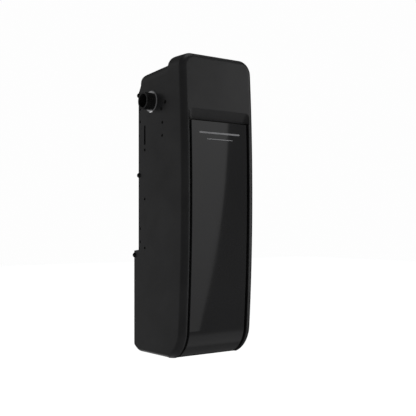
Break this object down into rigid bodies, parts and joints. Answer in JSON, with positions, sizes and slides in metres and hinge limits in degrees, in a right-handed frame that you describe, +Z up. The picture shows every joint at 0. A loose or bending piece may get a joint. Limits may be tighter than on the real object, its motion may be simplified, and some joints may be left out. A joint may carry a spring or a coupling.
{
  "type": "garage door opener",
  "caption": "Wall-mounted garage door opener: tall black case with a tilt-out glossy front, worm gearing, and a hollow output collar that grips a torsion bar.",
  "frame": {"origin": "on the output shaft's axis, half-way between the two flanks", "axes": "+X to the right seen from the front, +Y back towards the wall, +Z up; the collar sticks out towards -X"},
  "size_m": [0.1849, 0.1688, 0.55],
  "materials": {
    "access_panel": "polished",
    "back_plate": "zinc plated",
    "battery": "moulded",
    "battery_strap": "webbing-pattern moulding",
    "battery_terminals": "tinned",
    "battery_tray": "moulded",
    "bearing_plates": "satin black",
    "board_standoffs": "nylon",
    "bracket_inserts": "knurled",
    "bracket_screws": "black oxide",
    "brush_plate": "phenolic",
    "button_switches": "moulded",
    "clutch_dog": "machined",
    "clutch_spring": "drawn wire",
    "collar_set_screws": "black oxide",
    "control_fascia": "fine texture",
    "cord_gland": "moulded",
    "down_button": "moulded",
    "encoder_bracket": "zinc plated",
    "encoder_drive_gear": "moulded acetal",
    "encoder_gear": "moulded acetal",
    "encoder_pin": "ground",
    "fascia_screws": "zinc plated",
    "front_cover": "fine satin texture",
    "gearbox_left": "die cast",
    "gearbox_right": "die cast",
    "gearbox_screws": "zinc plated",
    "hub_bushes": "sintered bronze",
    "learn_button": "moulded",
    "logic_board": "solder mask",
    "motor_armature": "laminated",
    "motor_brushes": "carbon",
    "motor_can": "zinc plated",
    "motor_end_plate": "die cast",
    "motor_magnets": "ferrite",
    "output_shaft": "black oxide steel",
    "panel_hinge_pins": "drawn",
    "panel_inlays": "satin",
    "panel_magnets": "nickel plated",
    "plate_screws": "black oxide",
    "rear_housing": "fine satin texture",
    "release_bracket": "zinc plated",
    "release_lever": "zinc plated",
    "release_pivot_pin": "ground",
    "release_spring": "drawn wire",
    "rope_bush": "moulded",
    "set_button": "moulded",
    "shaft_bushes": "turned",
    "shaft_keys": "ground",
    "shaft_rings": "phosphated",
    "side_screws": "black oxide",
    "status_lights": "diffused",
    "terminal_block": "moulded",
    "terminal_screws": "nickel plated",
    "transformer": "varnished laminations",
    "transformer_coil": "taped",
    "up_button": "moulded",
    "worm": "hardened",
    "worm_bushes": "sintered bronze",
    "worm_wheel": "machined bronze"
  },
  "bodies": {
    "root": {"back_plate": "back_plate", "battery": "battery", "battery_strap": "battery_strap", "battery_terminals": "battery_terminals", "battery_tray": "battery_tray", "bearing_plates": "bearing_plates", "board_standoffs": "board_standoffs", "bracket_inserts": "bracket_inserts", "bracket_screws": "bracket_screws", "brush_plate": "brush_plate", "button_switches": "button_switches", "control_fascia": "control_fascia", "cord_gland": "cord_gland", "encoder_bracket": "encoder_bracket", "encoder_pin": "encoder_pin", "fascia_screws": "fascia_screws", "front_cover": "front_cover", "gearbox_left": "gearbox_left", "gearbox_right": "gearbox_right", "gearbox_screws": "gearbox_screws", "hub_bushes": "hub_bushes", "logic_board": "logic_board", "motor_brushes": "motor_brushes", "motor_can": "motor_can", "motor_end_plate": "motor_end_plate", "motor_magnets": "motor_magnets", "panel_hinge_pins": "panel_hinge_pins", "panel_magnets": "panel_magnets", "plate_screws": "plate_screws", "rear_housing": "rear_housing", "release_bracket": "release_bracket", "release_pivot_pin": "release_pivot_pin", "release_spring": "release_spring", "rope_bush": "rope_bush", "shaft_bushes": "shaft_bushes", "side_screws": "side_screws", "status_lights": "status_lights", "terminal_block": "terminal_block", "terminal_screws": "terminal_screws", "transformer": "transformer", "transformer_coil": "transformer_coil", "worm_bushes": "worm_bushes"},
    "front_panel": {"access_panel": "access_panel", "panel_inlays": "panel_inlays"},
    "output": {"output_shaft": "output_shaft", "shaft_rings": "shaft_rings", "shaft_keys": "shaft_keys", "collar_set_screws": "collar_set_screws", "encoder_drive_gear": "encoder_drive_gear", "clutch_spring": "clutch_spring"},
    "clutch": {"clutch_dog": "clutch_dog"},
    "wheel": {"worm_wheel": "worm_wheel"},
    "rotor": {"motor_armature": "motor_armature", "worm": "worm"},
    "sensor_gear": {"encoder_gear": "encoder_gear"},
    "release": {"release_lever": "release_lever"},
    "learn_key": {"learn_button": "learn_button"},
    "set_key": {"set_button": "set_button"},
    "down_key": {"down_button": "down_button"},
    "up_key": {"up_button": "up_button"}
  },
  "joints": [
    {"name": "output_spin", "type": "hinge", "parent": "root", "child": "output", "pos_m": [0, 0, 0], "axis": [1, 0, 0], "continuous": true},
    {"name": "clutch_slide", "type": "slide", "parent": "output", "child": "clutch", "axis": [-1, 0, 0], "range_m": [0, 0.007], "deforming": ["clutch_spring"]},
    {"name": "wheel_spin", "type": "hinge", "parent": "root", "child": "wheel", "pos_m": [0, 0, 0], "axis": [1, 0, 0], "continuous": true},
    {"name": "rotor_spin", "type": "hinge", "parent": "root", "child": "rotor", "pos_m": [0.03, -0.041, 0], "axis": [0, 0, 1], "continuous": true},
    {"name": "sensor_spin", "type": "hinge", "parent": "root", "child": "sensor_gear", "pos_m": [0, -0.0301, 0], "axis": [1, 0, 0], "continuous": true},
    {"name": "release_pull", "type": "hinge", "parent": "root", "child": "release", "pos_m": [-0.0102, 0, -0.042], "axis": [0, -1, 0], "range_deg": [0, 9.5], "stiffness_Nm_per_rad": 0.6, "springref_deg": -14.32, "deforming": ["release_spring"]},
    {"name": "panel_tilt", "type": "hinge", "parent": "root", "child": "front_panel", "pos_m": [0, -0.0655, -0.46481], "axis": [1, 0, 0], "range_deg": [0, 30]},
    {"name": "learn_press", "type": "slide", "parent": "root", "child": "learn_key", "axis": [0, 1, 0], "range_m": [0, 0.0012], "stiffness_N_per_m": 250, "springref_m": -0.001},
    {"name": "set_press", "type": "slide", "parent": "root", "child": "set_key", "axis": [0, 1, 0], "range_m": [0, 0.0012], "stiffness_N_per_m": 250, "springref_m": -0.001},
    {"name": "down_press", "type": "slide", "parent": "root", "child": "down_key", "axis": [0, 1, 0], "range_m": [0, 0.0012], "stiffness_N_per_m": 250, "springref_m": -0.001},
    {"name": "up_press", "type": "slide", "parent": "root", "child": "up_key", "axis": [0, 1, 0], "range_m": [0, 0.0012], "stiffness_N_per_m": 250, "springref_m": -0.001}
  ],
  "couplings": [
    {"joint": "wheel_spin", "follows": "output_spin", "ratio": 1},
    {"joint": "rotor_spin", "follows": "output_spin", "ratio": 32},
    {"joint": "sensor_spin", "follows": "output_spin", "ratio": -2},
    {"joint": "clutch_slide", "follows": "release_pull", "m_per_rad": 0.042}
  ]
}
